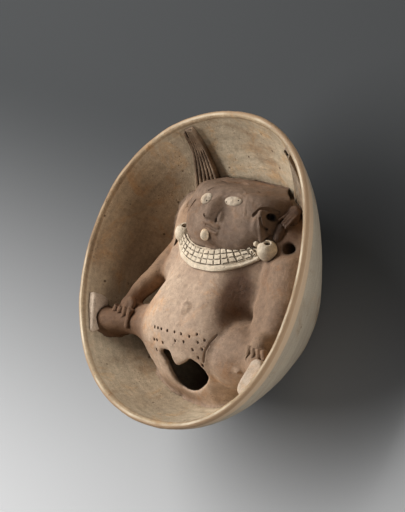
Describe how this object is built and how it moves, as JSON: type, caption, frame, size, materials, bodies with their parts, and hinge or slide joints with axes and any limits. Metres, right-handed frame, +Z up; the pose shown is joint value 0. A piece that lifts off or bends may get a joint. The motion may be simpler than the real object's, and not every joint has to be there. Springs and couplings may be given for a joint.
{
  "type": "figural bowl",
  "caption": "Flared round clay bowl with a hollow reclining figure modelled inside it, feet against the rim and a collar of beads.",
  "frame": {"origin": "middle of the flat base, on the surface the bowl stands on", "axes": "+Z up through the mouth, +Y towards the figure's head, +X towards the figure's own left side"},
  "size_m": [0.2873, 0.2851, 0.1001],
  "materials": {
    "bowl_clay": "matte, unglazed fired clay",
    "rim_slip": "matte, unglazed fired clay",
    "figure_clay": "matte, unglazed fired clay",
    "face_clay": "matte, unglazed fired clay",
    "cream_slip": "matte, unglazed fired clay",
    "sole_slip": "matte, unglazed fired clay",
    "hair_clay": "matte, unglazed fired clay"
  },
  "bodies": {
    "root": {"base_slab": "bowl_clay", "bowl_wall": "bowl_clay", "rim_coil": "rim_slip", "torso": "figure_clay", "front_tab": "figure_clay", "head": "face_clay", "left_leg": "figure_clay", "left_arm": "figure_clay", "left_foot": "sole_slip", "left_hand": "figure_clay", "right_leg": "figure_clay", "right_arm": "figure_clay", "right_foot": "sole_slip", "right_hand": "figure_clay", "nose": "face_clay", "lips": "face_clay", "labret": "cream_slip", "navel": "figure_clay", "ankle_mark": "figure_clay", "left_eye": "cream_slip", "left_ear": "face_clay", "left_ear_spool": "cream_slip", "left_hair_lock": "hair_clay", "right_eye": "cream_slip", "right_ear": "face_clay", "right_ear_spool": "cream_slip", "right_hair_lock": "hair_clay", "bead_collar": "cream_slip"}
  },
  "joints": []
}
